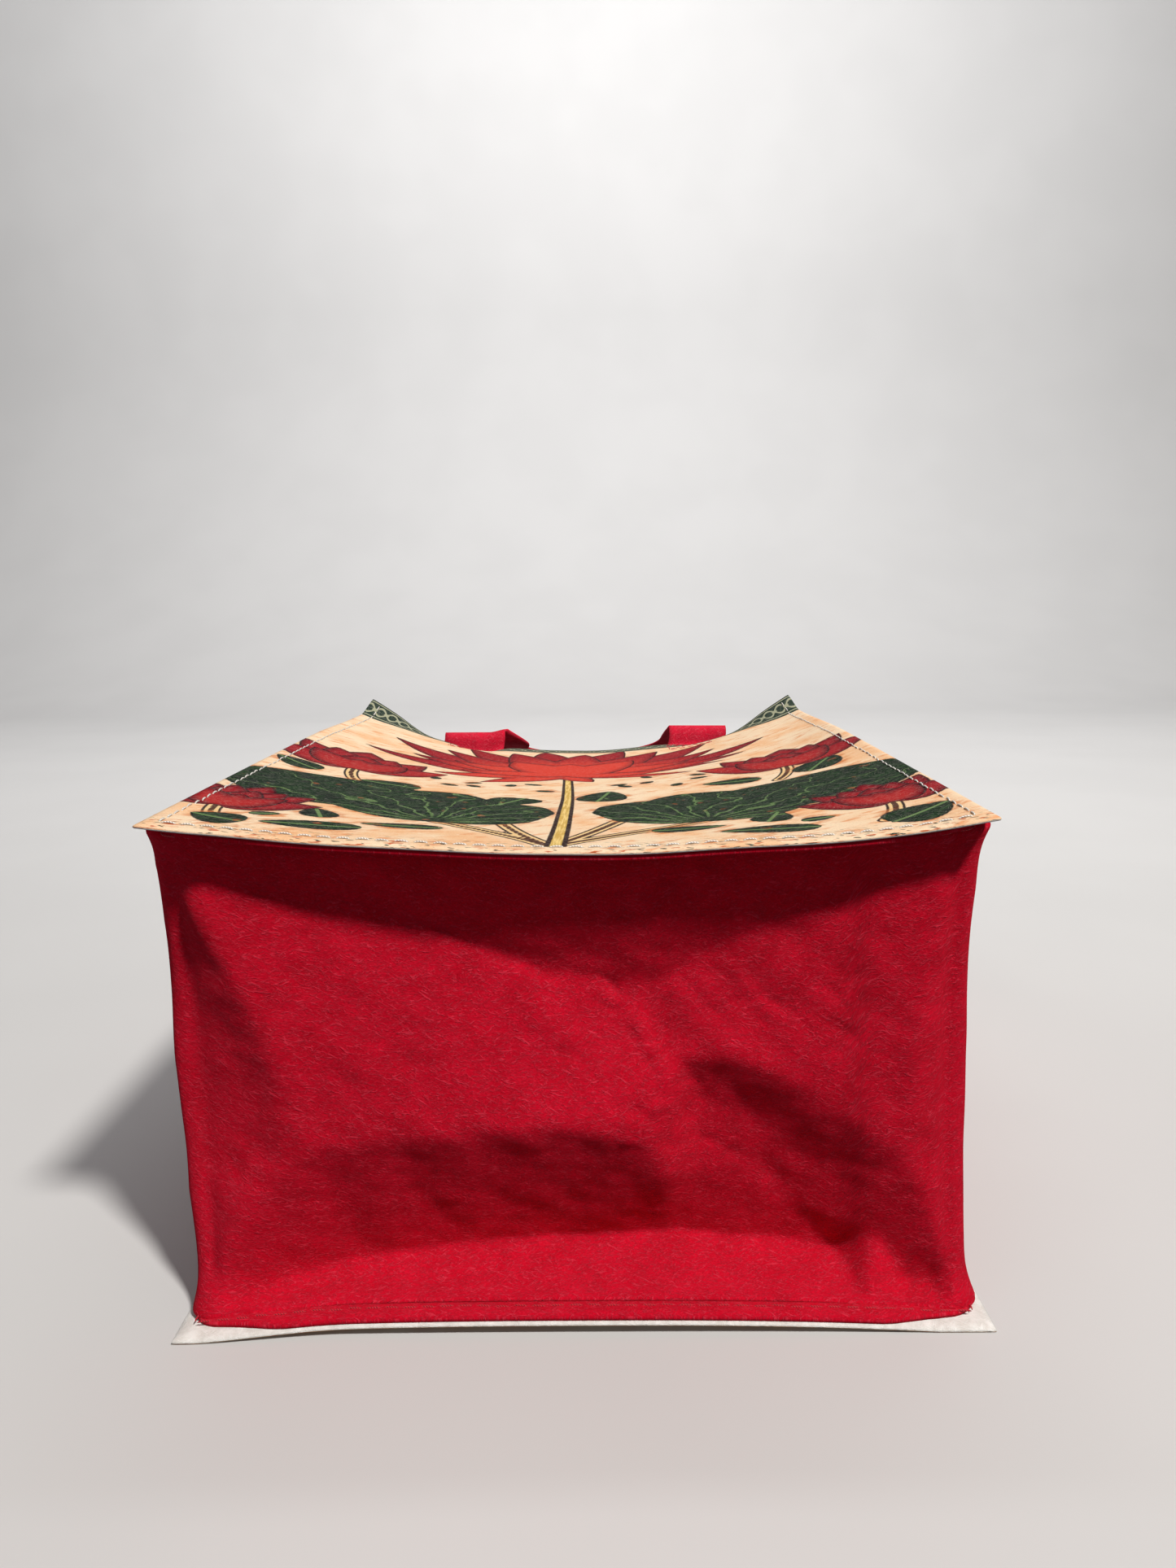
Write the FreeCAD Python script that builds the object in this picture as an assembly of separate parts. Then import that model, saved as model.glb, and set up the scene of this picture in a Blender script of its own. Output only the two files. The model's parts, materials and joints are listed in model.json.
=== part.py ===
import FreeCAD, Part

import math
import os

from FreeCAD import Vector

# Felt gift bag, lying on its back panel.
#
# Frame: millimetres. The origin is the middle of the back panel's outer face, on which the bag
# rests. +Z is up, off the back panel. +Y runs from the bottom of the bag to its mouth. +X is to
# the right for someone who faces the bottom of the bag.

# Panels
panel_width = 213.0
panel_length = 280.0
panel_felt = 1.6

# Gusset: one strip round the left side, the bottom and the right side
gusset_depth = 132.0  # between the two panels, at their corners
gusset_felt = 1.5
seam_allowance = 7.5  # panel's edge to the outside of the gusset wall
flange_setback = 2.0  # the gusset's turned-out edge stays this far inside the panel's edge
corner_radius = 6.0  # outside of the gusset wall, where the side turns into the bottom

# How the front panel hangs between the gusset walls
front_setback = 6.0  # the bag leans, so the front panel lies this far towards the mouth
sag_at_bottom = 7.0
sag_at_mouth = 23.0
mouth_rise = 4.0  # the panel's corners at the mouth above its corners at the bottom
sag_power = 3  # a flat middle that steepens towards the side seams
half_span_points = 6

# Dish pressed into the bottom of the gusset
dish_depth = 16.0
dish_side_band = 5.0  # plain wall left beside each rounded corner
dish_seam_band = 6.0  # plain wall left above the back panel and below the front panel
dish_centre_x = 10.0
dish_centre_share = 0.52  # height of the deepest point, as a share of the dish

# Handles
strap_width = 28.0
strap_felt = 1.5
handle_centres = 106.0
sewn_length = 33.0  # of strap, inside the mouth
leg_length = 36.0
lip_gap = 0.4  # strap to the panel's cut edge at the mouth
hinge_clearance = 0.3
front_handle_rise = 4.0  # the bend of the strap above the panel's edge
front_handle_droop = 14.5  # degrees below the horizontal
back_handle_droop = 0.8

# Stitching
seam_inset = 4.5  # panel's edge to the seam
seam_pitch = 4.8
stitch_gap = 0.7
thread = 0.5
box_inset = 4.0  # strap's edge to the stitched box
box_pitch = 4.0

far = 400.0  # beyond the bag on any side

half_width = panel_width / 2
bottom_y = -panel_length / 2
mouth_y = panel_length / 2
wall_x = half_width - seam_allowance
wall_y = bottom_y + seam_allowance
back_top = panel_felt
lean = front_setback / gusset_depth
front_corner_top = back_top + gusset_depth + panel_felt
front_bottom_y = bottom_y + front_setback
front_mouth_y = mouth_y + front_setback

up = Vector(0, 0, 1)
down = Vector(0, 0, -1)


def scaled(vector, factor):
    return Vector(vector).multiply(factor)


def box(x0, x1, y0, y1, z0, z1):
    return Part.makeBox(x1 - x0, y1 - y0, z1 - z0, Vector(x0, y0, z0))


# Panels


def front_top(x, y):
    """Height of the front panel's outer face, which is straight from the bottom to the mouth."""
    along = (y - front_bottom_y) / panel_length
    across = abs(x) / half_width
    sag = sag_at_bottom + (sag_at_mouth - sag_at_bottom) * along
    return front_corner_top + mouth_rise * along - sag * (1 - across**sag_power)


def hanging_curve(y, offset):
    """The front panel's outer face across the bag at y, moved up by offset."""
    curve = Part.BSplineCurve()
    shares = [i / half_span_points for i in range(-half_span_points, half_span_points + 1)]
    points = [Vector(s * half_width, y, front_top(s * half_width, y) + offset) for s in shares]
    curve.interpolate(points)
    return curve.toShape()


def front_layer(low, high, start=front_bottom_y, end=front_mouth_y):
    """Solid between two heights measured from the front panel's outer face."""
    sections = []
    for y in (start, end):
        lower, upper = hanging_curve(y, low), hanging_curve(y, high)
        right_end = Part.makeLine(lower.Vertexes[1].Point, upper.Vertexes[1].Point)
        left_end = Part.makeLine(upper.Vertexes[0].Point, lower.Vertexes[0].Point)
        sections.append(Part.Wire([lower, right_end, upper, left_end]))
    return Part.makeLoft(sections, True, True)


def make_back_panel():
    return box(-half_width, half_width, bottom_y, mouth_y, 0, back_top)


# Gusset


def rounded_u(outset, low, high, setback=0, slope=0):
    """Prism on the plan of the bag, open at the mouth and grown by outset on the other sides.

    The plan at the low end is moved by setback towards the mouth, and slope is how far it moves
    on for each millimetre of height.
    """
    side = wall_x + outset
    front = wall_y - outset + setback
    mouth = mouth_y + setback
    radius = max(corner_radius + outset, gusset_felt / 2)
    bulge = radius * (1 - math.sqrt(0.5))
    left, right = Vector(-side, mouth, low), Vector(side, mouth, low)
    left_start, left_end = Vector(-side, front + radius, low), Vector(-side + radius, front, low)
    right_start, right_end = Vector(side - radius, front, low), Vector(side, front + radius, low)
    left_middle = Vector(-side + bulge, front + bulge, low)
    right_middle = Vector(side - bulge, front + bulge, low)
    outline = [
        Part.makeLine(left, left_start),
        Part.Arc(left_start, left_middle, left_end).toShape(),
        Part.makeLine(left_end, right_start),
        Part.Arc(right_start, right_middle, right_end).toShape(),
        Part.makeLine(right_end, right),
        Part.makeLine(right, left),
    ]
    height = high - low
    return Part.Face(Part.Wire(outline)).extrude(Vector(0, slope * height, height))


def make_dish():
    """The bottom's pressed-in middle, four flat facets with one deep point, and its window."""
    x1 = wall_x - corner_radius - dish_side_band
    low = back_top + gusset_felt + dish_seam_band
    high = front_top(0, front_bottom_y) - panel_felt - gusset_felt - dish_seam_band
    deep_z = low + (high - low) * dish_centre_share
    corners = [(-x1, low), (x1, low), (x1, high), (-x1, high)]
    rim = [Vector(x, wall_y + lean * (z - back_top), z) for x, z in corners]
    deepest = Vector(dish_centre_x, wall_y + lean * (deep_z - back_top) + dish_depth, deep_z)
    facets = []
    for corner, following in zip(rim, rim[1:] + rim[:1]):
        outline = Part.makePolygon([corner, following, deepest, corner])
        facets.append(Part.Face(outline).extrude(Vector(0, gusset_felt, 0)))
    window_end = wall_y + front_setback + 2 * gusset_felt
    window = box(-x1, x1, wall_y - gusset_felt, window_end, low, high)
    return facets, window


def make_gusset():
    """Wall and flanges are joined while they are too tall, then cut off under the front panel."""
    flange = seam_allowance - flange_setback
    reach = front_setback + seam_allowance
    facets, window = make_dish()
    wall = rounded_u(0, back_top, far, slope=lean)
    wall = wall.cut(rounded_u(-gusset_felt, 0, far + 1, setback=-lean * back_top, slope=lean))
    wall = wall.cut(window).fuse(facets)
    back_flange = rounded_u(flange, back_top, back_top + gusset_felt)
    back_flange = back_flange.cut(rounded_u(-gusset_felt / 2, 0, far))
    front_flange = rounded_u(flange, 0, far, setback=front_setback)
    inside = rounded_u(-gusset_felt / 2, -1, far + 1, setback=front_setback)
    below = front_layer(-2 * far, -panel_felt - gusset_felt, bottom_y - reach, mouth_y + reach)
    front_flange = front_flange.cut(inside).cut(below)
    under_panel = front_layer(-far, -panel_felt, bottom_y - reach, mouth_y + reach)
    return wall.fuse([back_flange, front_flange]).common(under_panel).removeSplitter()


# Handles: the strap of each is sewn inside the mouth at its two ends, and its loop is free

bend_gap = lip_gap + strap_felt + hinge_clearance + strap_felt / 2  # panel's edge to the hinge
strap_outer_x = (handle_centres + strap_width) / 2
strap_inner_x = (handle_centres - strap_width) / 2
front_hinge_y = front_mouth_y + bend_gap
front_hinge_z = front_top(strap_outer_x, front_mouth_y) + front_handle_rise
back_hinge_y = mouth_y + bend_gap
back_hinge_z = back_top + strap_felt / 2


def strap_sides(side):
    """Lowest and highest x of the strap on one side, -1 for left and 1 for right."""
    return sorted((side * strap_inner_x, side * strap_outer_x))


def make_front_end(side):
    """Sewn end under the front panel, with the short length that turns up outside the mouth."""
    x0, x1 = strap_sides(side)
    start_y = front_mouth_y - sewn_length
    riser_y = front_mouth_y + lip_gap
    end_y = riser_y + strap_felt
    end = front_layer(-panel_felt - strap_felt, far, start_y, end_y)
    top = front_hinge_z - strap_felt / 2 - hinge_clearance
    end = end.common(box(x0, x1, start_y, end_y, 0, top))
    return end.cut(front_layer(-panel_felt, far + 1, start_y - 1, riser_y))


def make_back_end(side):
    x0, x1 = strap_sides(side)
    end_y = mouth_y + lip_gap + strap_felt
    return box(x0, x1, mouth_y - sewn_length, end_y, back_top, back_top + strap_felt)


def make_loop(hinge_y, hinge_z, droop):
    """Free loop of the strap: two straight legs and a half-round bight, flat in one plane."""
    half = strap_felt / 2
    bight = Part.makeCylinder(strap_outer_x, strap_felt, Vector(0, leg_length, -half))
    bore = Part.makeCylinder(strap_inner_x, 2 * strap_felt, Vector(0, leg_length, -strap_felt))
    half_plane = box(-far, far, leg_length, far, -far, far)
    loop = bight.cut(bore).common(half_plane)
    for side in (-1, 1):
        x0, x1 = strap_sides(side)
        leg = box(x0, x1, 0, leg_length, -half, half)
        rounded_end = Part.makeCylinder(half, strap_width, Vector(x0, 0, 0), Vector(1, 0, 0))
        loop = loop.fuse([leg, rounded_end])
    loop = loop.removeSplitter()
    loop.rotate(Vector(0, 0, 0), Vector(1, 0, 0), -droop)
    loop.translate(Vector(0, hinge_y, hinge_z))
    return loop


# Stitching: each stitch is a solid of its own, flush with the face that it lies in


def make_stitch(start, end, outward, depth):
    """Staple of thread between two needle holes, whose ends go down into the felt by depth.

    A depth of one thread leaves a plain bar.
    """
    along = end.sub(start).normalize()
    aside = outward.cross(along).normalize()
    raised = along.cross(aside)
    length = end.sub(start).Length - stitch_gap
    corner = start.add(scaled(along, stitch_gap / 2)).sub(scaled(aside, thread / 2))
    outline = [(0, 0), (length, 0), (length, -depth)]
    if depth > thread:
        outline += [(length - thread, -depth), (length - thread, -thread)]
        outline += [(thread, -thread), (thread, -depth)]
    outline += [(0, -depth), (0, 0)]
    points = [corner.add(scaled(along, s)).add(scaled(raised, h)) for s, h in outline]
    return Part.Face(Part.makePolygon(points)).extrude(scaled(aside, thread))


def spaced_points(start, end, pitch):
    """Needle holes from start to end in plan, both included, about one pitch apart."""
    (x0, y0), (x1, y1) = start, end
    count = round(math.hypot(x1 - x0, y1 - y0) / pitch)
    shares = [i / count for i in range(count + 1)]
    return [(x0 + (x1 - x0) * share, y0 + (y1 - y0) * share) for share in shares]


def make_row(start, end, pitch, height, outward, depth):
    """Straight row of stitches in plan, laid on the face at height(x, y)."""
    holes = [Vector(x, y, height(x, y)) for x, y in spaced_points(start, end, pitch)]
    return [make_stitch(a, b, outward, depth) for a, b in zip(holes, holes[1:])]


def make_seam(setback, height, outward, depth):
    """Seam down the left side of the bag, along the bottom and up the right side."""
    side = half_width - seam_inset
    front = bottom_y + seam_inset + setback
    mouth = mouth_y - seam_inset + setback
    corners = [(-side, mouth), (-side, front), (side, front), (side, mouth)]
    stitches = []
    for start, end in zip(corners, corners[1:]):
        stitches += make_row(start, end, seam_pitch, height, outward, depth)
    return Part.Compound(stitches)


def make_box_stitches(side, mouth, height, outward):
    """Stitched box with a cross in it. The cross's second line breaks off round the first."""
    x0, x1 = strap_sides(side)
    x0, x1 = x0 + box_inset, x1 - box_inset
    y0, y1 = mouth - sewn_length + box_inset, mouth - 2 * box_inset
    corners = [(x0, y0), (x1, y0), (x1, y1), (x0, y1)]
    middle = ((x0 + x1) / 2, (y0 + y1) / 2)
    reach = box_pitch / math.hypot(x1 - x0, y1 - y0)
    near_a = (middle[0] - reach * (x1 - x0), middle[1] + reach * (y1 - y0))
    near_b = (middle[0] + reach * (x1 - x0), middle[1] - reach * (y1 - y0))
    lines = list(zip(corners, corners[1:] + corners[:1]))
    lines += [(corners[0], corners[2]), (corners[3], near_a), (near_b, corners[1])]
    stitches = []
    for start, end in lines:
        stitches += make_row(start, end, box_pitch, height, outward, thread)
    return stitches


def make_end_stitches(side, mouth, panel_face, strap_face, outward):
    outside = make_box_stitches(side, mouth, panel_face, outward)
    inside = make_box_stitches(side, mouth, strap_face, outward.negative())
    return Part.Compound(outside + inside)


def back_outside(x, y):
    return 0


def back_flange_face(x, y):
    return back_top + gusset_felt


def back_strap_face(x, y):
    return back_top + strap_felt


def front_flange_face(x, y):
    return front_top(x, y) - panel_felt - gusset_felt


def front_strap_face(x, y):
    return front_top(x, y) - panel_felt - strap_felt


nodes = {
    "front_panel": front_layer(-panel_felt, 0),
    "back_panel": make_back_panel(),
    "gusset": make_gusset(),
    "front_handle_loop": make_loop(front_hinge_y, front_hinge_z, front_handle_droop),
    "back_handle_loop": make_loop(back_hinge_y, back_hinge_z, back_handle_droop),
    "front_seam_needle_thread": make_seam(front_setback, front_top, up, panel_felt),
    "front_seam_bobbin_thread": make_seam(front_setback, front_flange_face, down, thread),
    "back_seam_needle_thread": make_seam(0, back_outside, down, panel_felt),
    "back_seam_bobbin_thread": make_seam(0, back_flange_face, up, thread),
}
for side, side_name in ((-1, "left"), (1, "right")):
    nodes[f"front_handle_{side_name}_end"] = make_front_end(side)
    nodes[f"back_handle_{side_name}_end"] = make_back_end(side)
    nodes[f"front_handle_{side_name}_stitches"] = make_end_stitches(
        side, front_mouth_y, front_top, front_strap_face, up
    )
    nodes[f"back_handle_{side_name}_stitches"] = make_end_stitches(
        side, mouth_y, back_outside, back_strap_face, down
    )

os.makedirs("parts", exist_ok=True)
for name, shape in nodes.items():
    if not shape.isValid() or not shape.Solids:
        raise ValueError(f"{name} is not a valid solid")
    shape.exportStep(os.path.join("parts", f"{name}.step"))
    print(name, len(shape.Solids), "solids", round(shape.Volume / 1000, 2), "cm3")
print("front hinge at", round(front_hinge_y, 3), round(front_hinge_z, 3))
print("back hinge at", round(back_hinge_y, 3), round(back_hinge_z, 3))
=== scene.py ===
import json
import math

import bpy
import numpy as np
from mathutils import Matrix, Vector
from mathutils.geometry import delaunay_2d_cdt


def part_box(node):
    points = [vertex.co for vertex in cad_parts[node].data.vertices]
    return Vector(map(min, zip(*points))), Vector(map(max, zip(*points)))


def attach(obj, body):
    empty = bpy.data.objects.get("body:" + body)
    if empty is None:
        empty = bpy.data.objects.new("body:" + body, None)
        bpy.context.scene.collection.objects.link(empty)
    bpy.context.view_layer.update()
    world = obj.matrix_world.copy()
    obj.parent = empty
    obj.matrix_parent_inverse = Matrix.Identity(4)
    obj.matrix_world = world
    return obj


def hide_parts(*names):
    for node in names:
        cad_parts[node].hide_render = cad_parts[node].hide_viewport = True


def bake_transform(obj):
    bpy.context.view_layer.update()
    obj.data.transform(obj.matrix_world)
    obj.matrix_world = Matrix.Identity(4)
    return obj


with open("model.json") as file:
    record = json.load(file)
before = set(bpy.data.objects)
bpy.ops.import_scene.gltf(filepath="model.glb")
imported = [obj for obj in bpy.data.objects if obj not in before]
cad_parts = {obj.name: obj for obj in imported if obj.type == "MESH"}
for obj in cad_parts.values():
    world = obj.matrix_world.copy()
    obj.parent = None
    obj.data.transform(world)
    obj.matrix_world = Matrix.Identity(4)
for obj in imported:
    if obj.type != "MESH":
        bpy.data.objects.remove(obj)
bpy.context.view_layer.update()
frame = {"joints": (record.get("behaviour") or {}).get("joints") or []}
print("frame loaded")

# Everything below is worked out in millimetres and put into the meshes in metres
mm = 0.001


def boxOf(node):
    low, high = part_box(node)
    return np.array(low) / mm, np.array(high) / mm


backLow, backHigh = boxOf("back_panel")
frontLow, frontHigh = boxOf("front_panel")
panelWidth = backHigh[0] - backLow[0]
panelLength = backHigh[1] - backLow[1]
panelFelt = backHigh[2] - backLow[2]
halfWidth = panelWidth / 2
hinges = {j["name"]: np.array(j["pos_m"]) / mm for j in frame["joints"]}
rng = np.random.default_rng(7)


# Small tools for meshes

def smooth(low, high, x):
    # 0 below low, 1 above high, an S-shaped step between
    t = np.clip((x - low) / (high - low), 0, 1)
    return t * t * (3 - 2 * t)


def waves(x, y, seed, size, terms=14):
    # sum of sine waves in random directions, about size mm long, within about -1 to 1
    r = np.random.default_rng(seed)
    turn = r.uniform(0, 2 * math.pi, terms)
    length = size * r.uniform(0.7, 1.6, terms)
    phase = r.uniform(0, 2 * math.pi, terms)
    total = np.zeros_like(x)
    for a, l, p in zip(turn, length, phase):
        total += np.sin(2 * math.pi * (x * math.cos(a) + y * math.sin(a)) / l + p)
    return total / math.sqrt(terms)


def gridQuads(rows, cols, closed=False):
    # quads of a rows x cols grid of points, row by row; closed joins the last column to the first
    i, j = np.meshgrid(np.arange(rows - 1), np.arange(cols if closed else cols - 1), indexing="ij")
    k = (j + 1) % cols
    return np.stack([i * cols + j, i * cols + k, (i + 1) * cols + k, (i + 1) * cols + j], -1).reshape(-1, 4)


def gridNormals(points):
    # unit normal at each point of a grid, from the cross product of its two directions
    across = np.gradient(points, axis=1)
    along = np.gradient(points, axis=0)
    normal = np.cross(across, along)
    return normal / np.maximum(np.linalg.norm(normal, axis=-1, keepdims=True), 1e-9)


def putMesh(name, points, quads, materials, which=None, fields=None):
    # points in mm, quads as rows of four; which is each face's material; fields are named point values
    mesh = bpy.data.meshes.new(name)
    points = np.asarray(points, float).reshape(-1, 3)
    quads = np.asarray(quads, np.int32)
    mesh.vertices.add(len(points))
    mesh.vertices.foreach_set("co", (points * mm).ravel())
    mesh.loops.add(quads.size)
    mesh.loops.foreach_set("vertex_index", quads.ravel())
    mesh.polygons.add(len(quads))
    mesh.polygons.foreach_set("loop_start", np.arange(len(quads), dtype=np.int32) * 4)
    mesh.polygons.foreach_set("loop_total", np.full(len(quads), 4, np.int32))
    for material in materials:
        mesh.materials.append(material)
    if which is not None:
        mesh.polygons.foreach_set("material_index", np.asarray(which, np.int32))
    for key, values in (fields or {}).items():
        values = np.asarray(values, np.float32)
        if values.ndim == 2:
            mesh.attributes.new(key, "FLOAT_VECTOR", "POINT").data.foreach_set("vector", values.ravel())
        else:
            mesh.attributes.new(key, "FLOAT", "POINT").data.foreach_set("value", values.ravel())
    mesh.update(calc_edges=True)
    mesh.validate()
    mesh.shade_smooth()
    piece = bpy.data.objects.new(name, mesh)
    bpy.context.scene.collection.objects.link(piece)
    return piece


def rimOf(rows, cols):
    # indices of a grid's boundary, once round
    first = np.arange(cols)
    right = np.arange(1, rows) * cols + cols - 1
    last = (rows - 1) * cols + np.arange(cols - 2, -1, -1)
    left = np.arange(rows - 2, 0, -1) * cols
    return np.concatenate([first, right, last, left])


def slab(outer, inner, bulge):
    # closed felt sheet from two grids of points: its cut edge swells out by bulge between them.
    # Returns points, quads and how many quads each of outer, inner and edge has.
    rows, cols = outer.shape[:2]
    count = rows * cols
    rim = rimOf(rows, cols)
    a, b = outer.reshape(-1, 3), inner.reshape(-1, 3)
    middle = (a[rim] + b[rim]) / 2
    tangent = np.roll(middle, -1, 0) - np.roll(middle, 1, 0)
    sideways = np.cross(tangent, a[rim] - b[rim])
    sideways /= np.maximum(np.linalg.norm(sideways, axis=1, keepdims=True), 1e-9)
    middle = middle + sideways * bulge
    quads = gridQuads(rows, cols)
    ring = 2 * count + np.arange(len(rim))
    after = np.roll(np.arange(len(rim)), -1)
    upper = np.stack([rim, ring, ring[after], rim[after]], -1)
    lower = np.stack([ring, rim + count, rim[after] + count, ring[after]], -1)
    points = np.concatenate([a, b, middle])
    faces = np.concatenate([quads, quads[:, ::-1] + count, upper, lower])
    return points, faces, (len(quads), len(quads), 2 * len(rim))


# Shader maths as Python expressions

def srgb(r, g, b):
    # a colour given as 0 to 255 on a screen, as linear light
    shares = (r / 255, g / 255, b / 255)
    return tuple(c / 12.92 if c <= 0.04 else ((c + 0.055) / 1.055) ** 2.4 for c in shares) + (1.0,)


class Sock:
    # wraps a node's output, so that expressions on it add Math nodes
    def __init__(self, sheet, socket):
        self.sheet, self.socket = sheet, socket

    def math(self, operation, *others):
        return self.sheet.node("ShaderNodeMath", {"operation": operation}, dict(enumerate((self,) + others)))

    def __add__(self, other):
        return self.math("ADD", other)

    def __radd__(self, other):
        return self.math("ADD", other)

    def __sub__(self, other):
        return self.math("SUBTRACT", other)

    def __rsub__(self, other):
        return self.sheet.value(other).math("SUBTRACT", self)

    def __mul__(self, other):
        return self.math("MULTIPLY", other)

    def __rmul__(self, other):
        return self.math("MULTIPLY", other)

    def __truediv__(self, other):
        return self.math("DIVIDE", other)

    def __abs__(self):
        return self.math("ABSOLUTE")

    def sine(self):
        return self.math("SINE")

    def atLeast(self, other):
        return self.math("MAXIMUM", other)

    def atMost(self, other):
        return self.math("MINIMUM", other)

    def step(self, low, high):
        # 0 below low, 1 above high, smooth between; low above high turns it round
        if low > high:
            return 1 - self.step(high, low)
        return self.sheet.node("ShaderNodeMapRange", {"interpolation_type": "SMOOTHSTEP"},
                               {"Value": self, "From Min": low, "From Max": high})


class Material:
    def __init__(self, name):
        self.material = bpy.data.materials.new(name)
        self.material.use_nodes = True
        self.tree = self.material.node_tree
        self.shader = self.tree.nodes["Principled BSDF"]

    def node(self, kind, settings=None, values=None, out=0):
        # a node with its settings and its sockets' values or links; returns one of its outputs
        node = self.tree.nodes.new(kind)
        for key, setting in (settings or {}).items():
            if key == "stops":
                ramp = node.color_ramp
                for k, (place, colour) in enumerate(setting):
                    stop = ramp.elements[k] if k < 2 else ramp.elements.new(place)
                    stop.position, stop.color = place, colour
            else:
                setattr(node, key, setting)
        for key, value in (values or {}).items():
            self.put(node.inputs[key], value)
        return Sock(self, node.outputs[out])

    def put(self, socket, value):
        if isinstance(value, Sock):
            self.tree.links.new(value.socket, socket)
        else:
            socket.default_value = value

    def value(self, number):
        return self.node("ShaderNodeMath", {"operation": "ADD"}, {0: float(number), 1: 0.0})

    def field(self, name, out=2):
        # a named value of the mesh: out 2 is a number, 1 a vector
        return self.node("ShaderNodeAttribute", {"attribute_name": name}, out=out)

    def parts(self, vector):
        split = self.node("ShaderNodeSeparateXYZ", {}, {0: vector})
        return [Sock(self, split.socket.node.outputs[k]) for k in range(3)]

    def vector(self, x, y, z=0.0):
        return self.node("ShaderNodeCombineXYZ", {}, {0: x, 1: y, 2: z})

    def noise(self, vector, scale, detail=2.0, roughness=0.5, out=0, distortion=0.0):
        values = {"Vector": vector, "Scale": scale, "Detail": detail, "Roughness": roughness,
                  "Distortion": distortion}
        return self.node("ShaderNodeTexNoise", {}, values, out=out)

    def stretched(self, vector, turn, along, across):
        # coordinates turned in their plane, then divided by a length along and a width across
        values = {"Vector": vector, "Rotation": (0, 0, math.radians(turn)), "Scale": (along, across, 1.0)}
        return self.node("ShaderNodeMapping", {"vector_type": "TEXTURE"}, values)

    def mix(self, share, first, second, kind="MIX"):
        settings = {"data_type": "RGBA", "blend_type": kind}
        return self.node("ShaderNodeMix", settings, {0: share, 6: first, 7: second}, out=2)

    def finish(self, **values):
        for key, value in values.items():
            self.put(self.shader.inputs[key.replace("_", " ")], value)
        return self.material


def feltFibres(m, place, size=1.0):
    # short fibres lying every way: three sets of stretched noise on wandering coordinates (mm)
    wander = m.noise(place, 0.09, 1.0, out=1)
    bent = m.node("ShaderNodeVectorMath", {"operation": "MULTIPLY_ADD"}, {0: wander, 1: (9, 9, 0), 2: place})
    total = None
    for turn in (8, -34, 52):
        strand = m.noise(m.stretched(bent, turn, 2.6 * size, 0.26 * size), 1.0, 1.5, 0.55)
        total = strand if total is None else total.atLeast(strand)
    return total


def feltBump(m, height, distance, strength=1.0):
    return m.node("ShaderNodeBump", {}, {"Height": height, "Distance": distance * mm, "Strength": strength})


def hairs(m, at, turn, size=1.0):
    # long fine hairs: thin contour lines of a stretched noise, broken up by another one
    wave = m.noise(m.stretched(at, turn, 8.5 * size, 1.15 * size), 1.0, 1.0, 0.4, distortion=0.25)
    line = abs(wave - 0.5).step(0.026, 0.005)
    broken = m.noise(m.stretched(at, turn, 4.5 * size, 1.6 * size), 1.0, 1.0).step(0.42, 0.56)
    return line * broken


def redFelt(name, lit, deep, fibre):
    # needled felt: a mottled ground with fine pale hairs on it, and a bump from both
    m = Material(name)
    at = m.field("cut", 1)
    fibres = feltFibres(m, at, 0.8)
    mottle = m.noise(at, 0.11, 3.0, 0.6)
    fine = m.noise(at, 1.5, 2.0, 0.6)
    colour = m.mix(mottle.step(0.25, 0.75) * 0.55 + fine.step(0.3, 0.7) * 0.45, deep, lit)
    hair = hairs(m, at, 4, 0.7).atLeast(hairs(m, at, -28, 0.7)).atLeast(hairs(m, at, 35, 0.55))
    pale = (fibres - 0.58).step(0.0, 0.14) * (0.3 + 0.7 * fine.step(0.4, 0.65))
    colour = m.mix(pale * 0.3, colour, fibre)
    colour = m.mix(hair * 0.34, colour, fibre)
    height = fibres * 0.8 + fine * 0.5 + hair * 0.5
    return m.finish(Base_Color=colour, Roughness=0.95, Normal=feltBump(m, height, 0.4, 0.8),
                    Sheen_Weight=0.1, Sheen_Roughness=0.5, Sheen_Tint=fibre, Specular_IOR_Level=0.08)


gussetFelt = redFelt("gusset_red_felt", srgb(212, 10, 42), srgb(180, 3, 28), srgb(236, 74, 96))
strapFelt = redFelt("strap_red_felt", srgb(222, 34, 62), srgb(196, 18, 46), srgb(240, 100, 116))


def whiteFelt():
    m = Material("inner_white_felt")
    at = m.field("cut", 1)
    fibres = feltFibres(m, at)
    mottle = m.noise(at, 0.3, 3.0, 0.6)
    colour = m.mix(mottle.step(0.3, 0.7), srgb(214, 208, 200), srgb(236, 232, 226))
    colour = m.mix(fibres.step(0.58, 0.72) * 0.5, colour, srgb(248, 246, 242))
    return m.finish(Base_Color=colour, Roughness=0.95, Normal=feltBump(m, fibres + mottle * 0.5, 0.4, 0.8),
                    Sheen_Weight=0.2, Specular_IOR_Level=0.12)


innerFelt = whiteFelt()


# The print: lotus flowers, their leaves and stems, a patterned band along the mouth.
# u runs across the panel from its middle, v from its bottom edge to its mouth, in mm.
print("print")

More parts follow.
